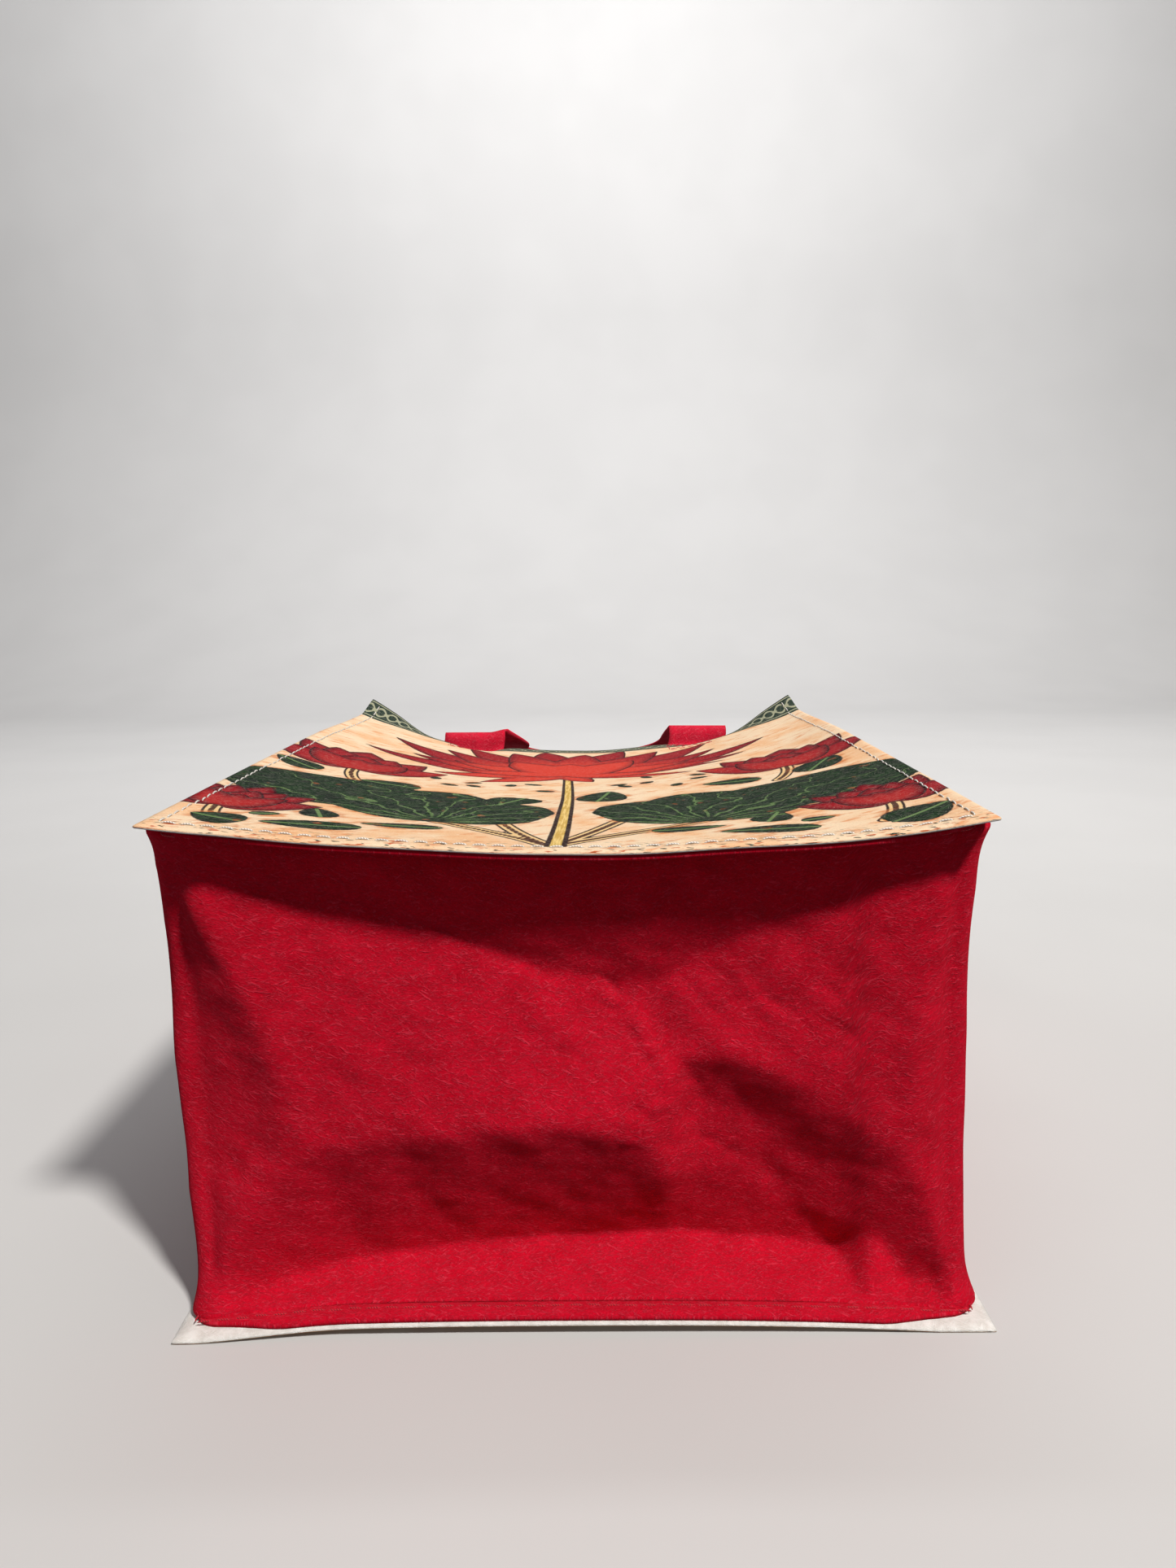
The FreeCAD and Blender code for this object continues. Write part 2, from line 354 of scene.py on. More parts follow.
printDesign = {
    "bigFlower": (-5, 163, 104),  # u and v of its base, and the length of its petals
    "smallFlowers": [(-80, 126, 46, -6), (77, 131, 45, 5), (-97, 32, 34, 8), (90, 36, 33, -4)],
    "veinCentre": (39, 42),
    "leafMiddle": (58, 71),
    # distance from the big leaf's middle to its edge, by angle in degrees from the outer side
    "leafEdge": [(-180, 50), (-165, 55), (-148, 53), (-122, 36), (-90, 29), (-60, 24), (-25, 36), (0, 50),
                 (22, 54), (45, 44), (75, 33), (100, 27), (128, 35), (155, 36)],
    # small leaves: u, v, turn, length, width
    "smallLeaves": [(-97, 115, 150, 19, 14), (-63, 105, 175, 21, 15), (-20, 87, 250, 21, 18),
                    (10, 99, 80, 27, 17), (55, 116, 170, 21, 12), (87, 120, 60, 24, 17),
                    (-70, 36, 110, 13, 11), (-46, 29, 185, 23, 8), (-68, 19, 190, 27, 11),
                    (-92, 17, 160, 16, 13), (-82, 27, 20, 9, 5),
                    (33, 29, 5, 21, 9), (57, 37, 70, 15, 12), (68, 28, 10, 10, 6), (53, 19, 175, 27, 11),
                    (93, 19, 35, 22, 17)],
    "sprigs": [(-52, 133), (-48, 122), (-34, 118), (-19, 134), (-24, 124), (13, 128), (24, 131), (42, 134),
               (28, 148), (43, 146), (20, 122), (-14, 116), (35, 120), (-40, 128)],
    "bandWidth": 18,
}


def petal(u, v, base, turn, length, width, round0=0.55, round1=0.95):
    # signed distance, positive inside: half-width x^round0 * (1-x)^round1 along the petal's length
    a = math.radians(turn)
    du, dv = u - base[0], v - base[1]
    s = du * math.sin(a) + dv * math.cos(a)
    t = du * math.cos(a) - dv * math.sin(a)
    x = np.clip(s / length, 0, 1)
    peak = round0 / (round0 + round1)
    top = peak ** round0 * (1 - peak) ** round1
    half = width / 2 * (x ** round0 * (1 - x) ** round1) / top
    return (half - np.abs(t)) * 0.85 - np.abs(s - x * length)


def flowerLayers(u, v, base, length, turn, spec):
    # four layers of petals, each petal given as turn, share of length, width as a share of length
    layers = []
    for petals in spec:
        fields = [petal(u, v, base, turn + t, length * l, length * w) for t, l, w in petals]
        layers.append(np.maximum.reduce(fields))
    return layers


bigPetals = [
    [(-72, 0.86, 0.2), (-50, 1.0, 0.24), (-28, 0.98, 0.24), (-7, 0.98, 0.22), (14, 1.04, 0.22),
     (36, 1.08, 0.24), (58, 1.0, 0.22), (76, 0.66, 0.13)],
    [(-61, 0.74, 0.2), (-39, 0.86, 0.22), (-17, 0.88, 0.24), (5, 0.84, 0.24), (26, 0.92, 0.24),
     (47, 0.88, 0.22), (67, 0.8, 0.18)],
    [(-98, 0.5, 0.17), (-132, 0.4, 0.15), (98, 0.5, 0.1), (150, 0.22, 0.12), (-52, 0.6, 0.2),
     (56, 0.62, 0.2)],
    [(-24, 0.58, 0.24), (2, 0.42, 0.3), (28, 0.6, 0.24), (-80, 0.42, 0.16), (82, 0.4, 0.14)],
]
smallPetals = [
    [(-32, 0.96, 0.46), (2, 1.0, 0.5), (33, 0.97, 0.46)],
    [(-15, 0.87, 0.48), (18, 0.85, 0.48)],
    [(-58, 0.86, 0.46), (57, 0.86, 0.46), (2, 0.74, 0.44)],
    [(-34, 0.68, 0.42), (34, 0.67, 0.42), (0, 0.52, 0.36)],
]


def lineDistance(u, v, points):
    # unsigned distance to a line through points
    best = np.full(u.shape, 99.0)
    for (ua, va), (ub, vb) in zip(points, points[1:]):
        lu, lv = ub - ua, vb - va
        t = np.clip(((u - ua) * lu + (v - va) * lv) / (lu * lu + lv * lv), 0, 1)
        best = np.minimum(best, np.hypot(u - ua - t * lu, v - va - t * lv))
    return best


def bend(start, middle, end, count=10):
    # points of a quadratic curve
    t = np.linspace(0, 1, count)[:, None]
    p = (1 - t) ** 2 * np.array(start) + 2 * t * (1 - t) * np.array(middle) + t * t * np.array(end)
    return [tuple(q) for q in p]


def printFields(u, v):
    # the values that the print's material reads: signed distances in mm, positive inside
    d = printDesign
    bu, bv, bigLength = d["bigFlower"]
    layers = flowerLayers(u, v, (bu, bv), bigLength, 0, bigPetals)
    heart = np.hypot(u - bu, v - bv) / bigLength
    for fu, fv, length, turn in d["smallFlowers"]:
        small = flowerLayers(u, v, (fu, fv), length, turn, smallPetals)
        layers = [np.maximum(a, b) for a, b in zip(layers, small)]
        heart = np.minimum(heart, 0.25 + np.hypot(u - fu, v - fv) / length)
    angles, radii = np.array(d["leafEdge"]).T
    leaf = np.full(u.shape, -99.0)
    rib = np.full(u.shape, 9.0)
    for side in (-1, 1):
        du, dv = side * u - d["leafMiddle"][0], v - d["leafMiddle"][1]
        angle = np.degrees(np.arctan2(dv, du))
        radius = np.interp(angle, angles, radii, period=360)
        radius = radius + side * 1.5 * np.sin(np.radians(angle * 3 + 40 * side))
        leaf = np.maximum(leaf, (radius - np.hypot(du, dv)) * 0.9)
    for lu, lv, turn, length, width in d["smallLeaves"]:
        a = math.radians(turn)
        base = (lu - length / 2 * math.cos(a), lv - length / 2 * math.sin(a))
        one = petal(u, v, base, 90 - turn, length, width, 0.45, 0.8)
        across = -(u - lu) * math.sin(a) + (v - lv) * math.cos(a)
        leaf = np.maximum(leaf, one)
        rib = np.where(one > -1.5, across, rib)
    for k, (su, sv) in enumerate(d["sprigs"]):
        one = petal(u, v, (su, sv), 40 * math.sin(k * 2.3) + 90 * (k % 2), 7.5, 4.2, 0.5, 0.6)
        leaf = np.maximum(leaf, one)
    cu, cv = d["veinCentre"]
    stems = []
    for side in (-1, 1):
        stems.append(bend((side * cu, cv - 1), (side * 20, 30), (-4 + side * 2, 8)))
        stems.append(bend((side * 17 - 3, cv + 2), (side * 9 - 4, 22), (-4 + side * 1, 8)))
    for fu, fv, length, turn in d["smallFlowers"]:
        inward = -math.copysign(1, fu)
        drop = 25 if fv > 60 else 20
        stems.append(bend((fu, fv + 3), (fu, fv - drop * 0.55), (fu + inward * 7, fv - drop)))
    stem = np.minimum.reduce([lineDistance(u, v, s) for s in stems])
    centre = -3 + 1.2 * np.sin(v / 45)
    return {"cut": None, "leaf": leaf, "rib": rib, "petals1": layers[0], "petals2": layers[1],
            "petals3": layers[2], "petals4": layers[3], "heart": heart, "stem": stem,
            "mainStem": np.where((v > 5) & (v < bv + 3), u - centre, 30.0)}


def printedFelt():
    m = Material("printed_felt")
    at = m.field("cut", 1)
    u, v, _ = m.parts(at)
    fibres = feltFibres(m, at)
    fine = m.noise(at, 2.2, 2.0, 0.6)
    broad = m.noise(at, 0.035, 3.0, 0.55)
    patch = m.noise(m.stretched(at, 25, 9.0, 3.2), 1.0, 3.0, 0.6)
    shiver = (m.noise(at, 0.9, 2.0, 0.6) - 0.5) * 0.9  # the ink's edge wanders this much, in mm

    cream, peach, orange = srgb(240, 212, 178), srgb(236, 186, 140), srgb(222, 138, 80)
    colour = m.mix(broad.step(0.42, 0.66), cream, peach)
    colour = m.mix(patch.step(0.52, 0.7) * 0.75, colour, orange)
    colour = m.mix(m.noise(at, 0.5, 2.0).step(0.6, 0.75) * 0.35, colour, srgb(252, 236, 208))

    ink = srgb(52, 36, 34)
    # strokes of grass and blossom along the bottom edge
    low = v.step(15.0, 4.0)
    dashes = m.noise(m.stretched(at, 6, 5.0, 1.5), 1.0, 2.0, 0.5)
    colour = m.mix(dashes.step(0.6, 0.66) * low, colour, srgb(196, 96, 52))
    tufts = m.noise(m.stretched(at, -12, 4.2, 1.2), 1.3, 1.0, 0.5)
    colour = m.mix(tufts.step(0.63, 0.68) * low, colour, srgb(40, 52, 40))

    # stems: a pale core between two dark lines, and three lines in a bundle
    stem = m.field("stem") + shiver * 0.5
    colour = m.mix(stem.step(2.7, 2.3), colour, ink)
    colour = m.mix(stem.step(1.9, 1.6), colour, srgb(232, 196, 140))
    colour = m.mix(stem.step(0.95, 0.7), colour, srgb(84, 52, 38))

    # leaves: deep green, mottled, with pale veins and a dark edge
    leaf = m.field("leaf") + shiver
    streak = m.noise(m.stretched(at, 30, 7.0, 1.4), 1.0, 3.0, 0.6)
    green = m.mix(streak.step(0.38, 0.7), srgb(20, 32, 26), srgb(36, 66, 36))
    green = m.mix(m.noise(at, 0.12, 2.0).step(0.5, 0.7) * 0.7, green, srgb(24, 32, 32))
    cu, cv = printDesign["veinCentre"]
    across, up = abs(u) - float(cu), v - float(cv)
    bearing = up.math("ARCTAN2", across)
    reach = (across * across + up * up).math("SQRT")
    ray = bearing * 3.4 + (m.noise(at, 0.06, 2.0) - 0.5) * 2.6
    vein = abs(ray.math("FRACT") - 0.5) * reach * 0.29
    veins = vein.step(0.62, 0.25) * reach.step(3.0, 9.0) * (0.3 + 0.7 * fine.step(0.4, 0.6))
    inBig = v.step(38.0, 40.0) * v.step(112.0, 104.0)
    green = m.mix(veins * inBig * 0.75, green, srgb(126, 156, 96))
    rib = abs(m.field("rib"))
    green = m.mix(rib.step(0.75, 0.35) * 0.7, green, srgb(120, 150, 92))
    green = m.mix(leaf.step(1.1, 0.4) * 0.8, green, srgb(24, 28, 28))
    blotch = m.noise(at, 0.16, 1.0).step(0.68, 0.74) * streak.step(0.4, 0.6)
    green = m.mix(blotch * 0.8, green, srgb(164, 88, 52))
    halo = leaf.step(-3.2, -0.5) * patch.step(0.4, 0.6) * 0.7
    colour = m.mix(leaf.step(-0.25, 0.25), m.mix(halo, colour, srgb(206, 122, 66)), green)

    # the main stem crosses the leaves' stems
    main = abs(m.field("mainStem") + shiver * 0.4) * (1.0 + v * 0.0035)
    colour = m.mix(main.step(3.2, 2.8), colour, ink)
    bark = m.noise(m.stretched(at, 90, 9.0, 0.8), 1.0, 2.0)
    core = m.mix(bark.step(0.4, 0.65), srgb(206, 166, 84), srgb(238, 206, 132))
    colour = m.mix(main.step(1.7, 1.3), colour, core)

    # flowers: four layers of petals, light at the heart and dark at the tips
    heart = m.field("heart")
    aside = abs(u).step(48.0, 62.0)  # the side flowers are deeper in colour
    grain = m.noise(m.stretched(at, 80, 8.0, 1.2), 1.0, 2.0, 0.6)
    for number, lift in ((1, 0.0), (2, 0.1), (3, 0.2), (4, 0.34)):
        inside = m.field(f"petals{number}") + shiver * 0.8
        tone = heart * 1.15 + (grain - 0.5) * 0.5 - lift
        red = m.mix(tone.step(0.15, 0.8), srgb(208, 60, 46), srgb(150, 24, 34))
        red = m.mix(aside * 0.7, red, srgb(150, 22, 34))
        red = m.mix(inside.step(4.5, 0.6) * (0.55 + aside * 0.3), red, srgb(96, 14, 26))
        red = m.mix(inside.step(1.0, 0.45) * 0.9, red, srgb(48, 14, 22))
        colour = m.mix(inside.step(-0.25, 0.2), colour, red)

    # band along the mouth: crossing waves with a dot in each loop
    start = panelLength - printDesign["bandWidth"]
    inBand = v.step(start - 0.3, start + 0.3)
    wave = (u * 0.55).sine() * 3.4
    middle = v - (start + printDesign["bandWidth"] / 2)
    scroll = abs(middle - wave).atMost(abs(middle + wave))
    dot = ((u * 1.1).math("COSINE") * 0.5 + 0.5) * abs(middle).step(2.0, 0.6)
    lines = scroll.step(1.0, 0.5).atLeast(dot.step(0.5, 0.8))
    lines = lines.atLeast(abs(middle).step(5.3, 5.7) * abs(middle).step(6.5, 6.2))
    band = m.mix(fine.step(0.35, 0.65), srgb(28, 38, 36), srgb(52, 70, 58))
    band = m.mix(lines * 0.8, band, srgb(176, 176, 146))
    colour = m.mix(inBand, colour, band)

    # felt shows through the ink
    colour = m.mix((fibres - 0.58).step(0.0, 0.14) * 0.16, colour, srgb(250, 240, 226))
    colour = m.mix(fine.step(0.5, 0.3) * 0.14, colour, srgb(60, 40, 34))
    height = fibres * 0.8 + fine * 0.6
    return m.finish(Base_Color=colour, Roughness=0.95, Normal=feltBump(m, height, 0.35, 0.7),
                    Specular_IOR_Level=0.06)


printedPanel = printedFelt()


def threadMaterial(name, colour, shade):
    # twisted sewing thread: slanting plies along each stitch, with painted shade in the grooves between them
    m = Material(name)
    at = m.field("cut", 1)
    along, round_, _ = m.parts(at)
    ply = (along * 9.0 + round_ * 2.0).sine() * 0.5 + 0.5
    # the darker colour between the plies is painted shade in the grooves
    base = m.mix(ply.step(0.1, 0.7), shade, colour)
    return m.finish(Base_Color=base, Roughness=0.6, Normal=feltBump(m, ply, 0.08, 0.8), Sheen_Weight=0.15,
                    Specular_IOR_Level=0.3)


whiteThread = threadMaterial("white_thread", srgb(240, 236, 228), srgb(176, 168, 160))
redThread = threadMaterial("red_thread", srgb(206, 20, 44), srgb(120, 6, 22))


# The panels
print("panels")

panelShape = {
    "step": 1.3,  # mm between points of the felt
    "sag": (7.6, 23.2),  # at the bottom and at the mouth
    "mouthRise": 4.0,
    "power": (1.7, 2.6, 2.6),  # how flat the sag is: bottom left, bottom right, mouth
    "leanLeft": 3.3,  # the front panel lies this far to the left of the back one
    "curl": (5.5, 18.0),  # rise of the mouth's corners, over this length
    "handleDips": [(-51, 4.2, 10), (55, 1.2, 12)],  # x, depth and width of the mouth's dips
    "backArch": 2.4,  # the back panel's bottom edge stands off the table in its middle
    "cornerForward": 3.0,  # its left corner points towards the viewer
    "ripple": 0.3,
    "thinEdge": (0.8, 2.6),  # thickness of the cut edges, and how far in the felt is squeezed
    "edgeBulge": 0.3,
}
cornerTop = frontHigh[2] - panelShape["mouthRise"]


def edgeDistance(x, v):
    # distance to the nearest cut edge
    return np.minimum(halfWidth - np.abs(x), np.minimum(v, panelLength - v))


def feltThickness(x, v):
    thin, reach = panelShape["thinEdge"]
    return thin + (panelFelt - thin) * smooth(0, reach, edgeDistance(x, v))


def frontFace(x, v):
    # outer face of the front panel: it hangs between the side seams, deeper towards the mouth
    p = panelShape
    along = np.clip(v / panelLength, 0, 1)
    across = np.clip(np.abs(x) / halfWidth, 0, 1.05)
    sag = p["sag"][0] + (p["sag"][1] - p["sag"][0]) * along
    atBottom = p["power"][0] + (p["power"][1] - p["power"][0]) * smooth(-30, 30, x)
    power = atBottom + (p["power"][2] - atBottom) * smooth(0, 0.7, along)
    z = cornerTop + p["mouthRise"] * along - sag * (1 - across ** power)
    near = smooth(panelLength - p["curl"][1], panelLength, v)
    # the mouth's corners curl up, with a shallow trough inside each of them
    trough = 2.5 * smooth(0.4, 0.66, across) * smooth(0.9, 0.7, across)
    z = z + (p["curl"][0] * smooth(0.74, 1.0, across) - trough) * near
    z = z - 2.0 * smooth(0.75, 1.0, across) * smooth(0.6, 0.93, along)
    for dipX, deep, wide in p["handleDips"]:
        z = z - deep * np.exp(-(((x - dipX) / wide) ** 2)) * smooth(panelLength - 34, panelLength, v)
    z = z + p["ripple"] * waves(x, v, 3, 60) * smooth(1.0, 0.8, across)
    z = z - 0.35 * smooth(1.6, 0, edgeDistance(x, v))
    shrink = 1 - 0.008 * smooth(0.3, 0.9, along) - 0.022 * near
    y = frontLow[1] + v + 0.5 * np.sin(x / 31) * smooth(20, 0, v)
    return np.stack([x * shrink - p["leanLeft"], y, z], -1)


def frontUnder(x, v):
    point = frontFace(x, v)
    point[..., 2] -= feltThickness(x, v)
    return point


def backLift(x, v):
    # how far the back panel stands off the table
    arch = np.clip(1 - (np.abs(x + 4) / 96) ** 2.6, 0, 1)
    return panelShape["backArch"] * arch * np.exp(-np.clip(v, 0, None) / 34)


def backFace(x, v):
    # outer face of the back panel, which lies on the table
    forward = panelShape["cornerForward"] * smooth(-60, -105, x) * smooth(70, 0, v)
    return np.stack([x, backLow[1] + v - forward, backLift(x, v)], -1)


def backTop(x, v):
    point = backFace(x, v)
    point[..., 2] += feltThickness(x, v)
    return point


def panelGrid():
    cols = round(panelWidth / panelShape["step"]) + 1
    rows = round(panelLength / panelShape["step"]) + 1
    return np.meshgrid(np.linspace(-halfWidth, halfWidth, cols), np.linspace(0, panelLength, rows))


def makePanel(name, node, upper, lower, printedOn):
    # upper and lower faces over the grid; printedOn says which of them is printed.
    # The print runs over the swollen cut edge as far as its middle.
    x, v = panelGrid()
    points, quads, (face, _, rim) = slab(upper(x, v), lower(x, v), panelShape["edgeBulge"])
    half = rim // 2
    which = np.repeat([0, 1, 0, 1] if printedOn == "upper" else [1, 0, 1, 0], [face, face, half, half])
    values = printFields(x, v)
    values["cut"] = np.stack([x, v, np.zeros_like(x)], -1).reshape(-1, 3)
    edge = rimOf(*x.shape)
    fields = {}
    for key, value in values.items():
        flat = value if key == "cut" else value.ravel()
        fields[key] = np.concatenate([flat, flat, flat[edge]])
    fields["cut"][-len(edge):, 2] = 1.0
    piece = putMesh(name, points, quads, [printedPanel, innerFelt], which, fields)
    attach(piece, "bag")
    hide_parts(node)
    return piece


frontPanel = makePanel("front_panel_felt", "front_panel", frontFace, frontUnder, "upper")
backPanel = makePanel("back_panel_felt", "back_panel", backTop, backFace, "lower")


# The gusset: one strip round the left side, the bottom and the right side
print("gusset")

gussetShape = {
    "felt": 1.5,
    "inset": (6.0, 7.5),  # the wall's distance from the panel's side and bottom edges
    "flange": (4.2, 7.6),  # how far the edge turns out at the sides and at the bottom
    "corner": 5.0,
    "step": 1.2,
    "foldRadius": 1.0,
    "flare": (0.8, 2.4),  # the wall spreads this far towards its flanges, more at the corners
    "flareHeight": (2.2, 5.0),
    # outward swell of the two front corners, by share of the height
    "swellLeft": [(0, 2.2), (0.1, 4.2), (0.22, 6.6), (0.5, 8.6), (0.8, 8.2), (0.93, 7.2), (1, 5.2)],
    "swellRight": [(0, 2.0), (0.06, 2.0), (0.12, 2.4), (0.28, 3.0), (0.5, 3.4), (0.7, 4.4), (0.87, 5.6),
                   (1, 5.4)],
    # half way up the left and the right corner fall back this far, fading over this length of the sides
    "slack": (12.0, 7.0, 34),
    "sideHollow": 6.0,  # the sides fold in this far half way to the mouth
    "flatWidth": 0.145,
}
wallX = halfWidth - gussetShape["inset"][0]
wallY = backLow[1] + gussetShape["inset"][1]

# Creases of the bottom as it is dented: x, height and depth in mm
dentPoints = {
    "topLeft": [(-96, 124, 1.5), (-79, 119, 3.5), (-59, 112, 6), (-39, 105, 8), (-18, 96, 10),
                (-1, 90, 11.5)],
    "deepest": [(14, 85, 12.5)],
    "topRight": [(29, 93, 11), (43, 102, 8.5), (60, 110, 6), (77, 119, 3.5), (91, 125, 1.5)],
    "left": [(-99, 110, 1), (-90, 93, 1), (-82, 75, 1), (-79, 59, 1.5), (-80, 45, 2), (-91, 27, 1.5),
             (-99, 11, 1)],
    "right": [(93, 108, 1), (89, 89, 1), (87, 69, 1), (87, 51, 1.5), (91, 31, 1.5), (97, 15, 1)],
    "ridge": [(-72, 47, 1), (-55, 49, 0.5), (-29, 51, 0), (-6, 52, 0), (11, 50, 0.5)],
    "crease": [(-88, 5, 6), (-76, 6, 10), (-60, 8, 14), (-31, 10, 17.5), (-7, 11, 19), (23, 12, 20),
               (48, 10, 19.5), (70, 8, 16.5), (87, 5, 8)],
    "body": [(-35, 78, 4.5), (-5, 68, 5.5), (-70, 90, 3.5), (-54, 67, 2.5), (-22, 65, 3.5), (5, 62, 4)],
    "crumple": [(9, 75, 10), (16, 70, 8), (22, 62, 4.5), (18, 50, 2), (22, 36, 6.5)],
    "hollowRim": [(26, 68, 8), (39, 69, 5.5), (57, 62, 4), (72, 52, 2.5), (85, 41, 1.5)],
    "hollow": [(31, 57, 12), (46, 48, 12.5), (62, 38, 11), (32, 34, 13), (55, 24, 16), (79, 18, 8.5)],
    "upperRight": [(72, 88, 4.5), (42, 84, 8.5), (79, 68, 2.5)],
}
# Fine wrinkles: x and height of both ends, depth, half-width
dentWrinkles = [
    (-58, 111, -22, 97, 0.5, 1.1), (-40, 104, -6, 90, 0.45, 1.0), (-25, 96, 4, 84, 0.5, 1.2),
    (-14, 89, 10, 82, -0.5, 1.0), (0, 84, 12, 79, 0.6, 0.9), (5, 90, 13, 78, 0.8, 1.2),
    (9, 84, 18, 71, -0.9, 1.3), (17, 72, 22, 64, -1.1, 1.2), (22, 66, 18, 57, 0.9, 1.0),
    (18, 57, 27, 54, -0.9, 1.0), (12, 56, 20, 52, 0.8, 1.1), (0, 60, 12, 52, -0.5, 1.0),
    (24, 56, 30, 49, 0.6, 1.0), (20, 48, 26, 41, 0.7, 1.2), (10, 49, 19, 45, -0.5, 1.0),
    (26, 89, 40, 76, 0.45, 1.1), (38, 93, 52, 78, -0.4, 1.0), (48, 86, 62, 74, 0.5, 1.0),
    (60, 96, 74, 80, -0.4, 1.2), (62, 80, 78, 70, 0.4, 1.0), (28, 78, 46, 84, 0.35, 1.0),
    (-8, 72, 6, 62, 0.35, 1.2), (4, 77, 14, 70, -0.5, 0.9), (30, 44, 44, 38, 0.5, 1.4),
    (14, 66, 22, 69, 0.6, 0.9), (23, 62, 33, 60, 0.5, 1.1),
]


def blurred(grid, times):
    # repeated average of each point with its neighbours
    for _ in range(times):
        padded = np.pad(grid, 1, mode="edge")
        grid = (padded[1:-1, 1:-1] * 4 + padded[:-2, 1:-1] + padded[2:, 1:-1] + padded[1:-1, :-2]
                + padded[1:-1, 2:]) / 8
    return grid


def cornerSlack(share):
    # how far the left and the right corner fall back, most half way up
    left, right, _ = gussetShape["slack"]
    rise = np.sin(np.pi * np.clip(share, 0, 1)) ** 0.8
    return left * rise, right * rise


def dentDepth(x, z, top):
    # depth of the dent: flat triangles between the crease points, softened, plus fine wrinkles
    points = [p for group in dentPoints.values() for p in group]
    side = wallX - 0.5
    lean = panelShape["leanLeft"] / top
    for px in np.linspace(-side, side, 9):
        rim = float(np.interp(abs(px), [0, side], [top - 7, top - 2]))
        points += [(px, 3.5, 0), (px - lean * top, rim, 0)]
    for pz in np.linspace(3.5, top - 2, 15)[1:-1]:
        left, right = (float(slack) for slack in cornerSlack(pz / top))
        points += [(-side - lean * pz - 2, pz, left), (side - lean * pz, pz, right)]
    x = np.clip(x, -side - lean * z - 1.9, side - lean * z - 0.1)
    flat = [Vector((px, pz)) for px, pz, _ in points]
    verts, _, faces, origin, _, _ = delaunay_2d_cdt(flat, [], [], 0, 1e-5)
    depth = [points[o[0]][2] for o in origin]
    total = np.zeros_like(x)
    for a, b, c in faces:
        (ax, az), (bx, bz), (cx, cz) = verts[a], verts[b], verts[c]
        det = (bz - cz) * (ax - cx) + (cx - bx) * (az - cz)
        if abs(det) < 1e-9:
            continue
        p = ((bz - cz) * (x - cx) + (cx - bx) * (z - cz)) / det
        q = ((cz - az) * (x - cx) + (ax - cx) * (z - cz)) / det
        inside = (p >= -1e-6) & (q >= -1e-6) & (p + q <= 1 + 1e-6)
        total = np.where(inside, p * depth[a] + q * depth[b] + (1 - p - q) * depth[c], total)
    total = blurred(total, 4)
    for x0, z0, x1, z1, deep, half in dentWrinkles:
        lx, lz = x1 - x0, z1 - z0
        t = ((x - x0) * lx + (z - z0) * lz) / (lx * lx + lz * lz)
        away = ((x - x0) * lz - (z - z0) * lx) / math.hypot(lx, lz)
        away = away + 0.5 * np.sin(t * 7 + x0)
        ends = smooth(-0.15, 0.25, t) * smooth(1.15, 0.75, t)
        total += deep * np.exp(-((away / half) ** 2)) * ends
    near = smooth(0, 4, z) * smooth(0, 6, top - z) * smooth(wallX, wallX - 8, np.abs(x))
    return total + near * (0.2 * waves(x, z, 11, 16) + 0.1 * waves(x, z, 12, 6))


def gussetPath():
    # plan of the wall's outside, from the left of the mouth round the bottom to the right of it:
    # distance along the strip, x, y and the outward direction
    g = gussetShape
    r = g["corner"]
    side = panelLength - g["inset"][1] - r
    bottom = 2 * (wallX - r)
    arc = math.pi / 2 * r
    length = 2 * side + 2 * arc + bottom
    legs = np.linspace(0, side, round(side / (g["step"] * 1.9)))
    turn = np.linspace(0, arc, 9)[1:]
    floor = np.linspace(0, bottom, round(bottom / g["step"]))[1:]
    s = np.concatenate([legs, side + turn, side + arc + floor, side + arc + bottom + turn,
                        length - side + legs[1:]])
    # angle of the outward direction: 180 on the left, 270 at the bottom, 360 on the right
    angle = np.interp(s, [side, side + arc, length - side - arc, length - side], [180, 270, 270, 360])
    nx, ny = np.cos(np.radians(angle)), np.sin(np.radians(angle))
    centreX = np.clip(s - side - arc, 0, bottom) - bottom / 2
    centreY = wallY + r + np.maximum(side - s, 0) + np.maximum(s - length + side, 0)
    return s, centreX + r * nx, centreY + r * ny, nx, ny


